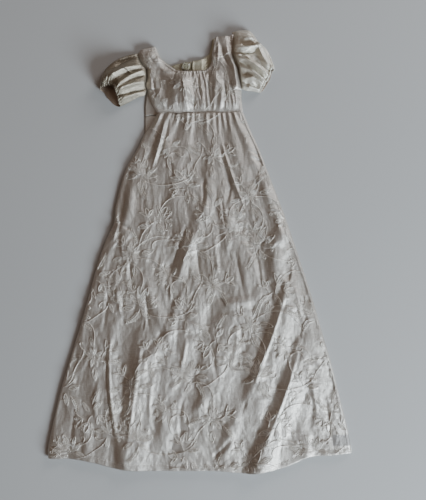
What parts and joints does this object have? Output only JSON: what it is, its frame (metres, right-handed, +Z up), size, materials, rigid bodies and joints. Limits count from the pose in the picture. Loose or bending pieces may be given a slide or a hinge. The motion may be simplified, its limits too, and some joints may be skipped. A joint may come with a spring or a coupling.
{
  "type": "doll's regency gown",
  "caption": "Doll's high-waisted embroidered gown with a square neck and short puff sleeves, laid flat on its back.",
  "frame": {"origin": "on the surface the gown lies on, under the middle of its bounding box", "axes": "+Y from the hem to the neck, +X to the right of someone who looks down on its front, +Z up from the surface"},
  "size_m": [0.2262, 0.3408, 0.0115],
  "materials": {
    "cream_silk": "slubbed cream silk with tone-on-tone embroidery, soft sheen",
    "snap_plastic": "smooth moulded plastic snap"
  },
  "bodies": {
    "root": {"skirt_front": "cream_silk", "skirt_back_left": "cream_silk", "skirt_back_right": "cream_silk", "bodice_front": "cream_silk", "bodice_back_left": "cream_silk", "bodice_back_right": "cream_silk", "sleeve_left": "cream_silk", "sleeve_right": "cream_silk", "snap_socket": "snap_plastic", "snap_ball": "snap_plastic"}
  },
  "joints": []
}
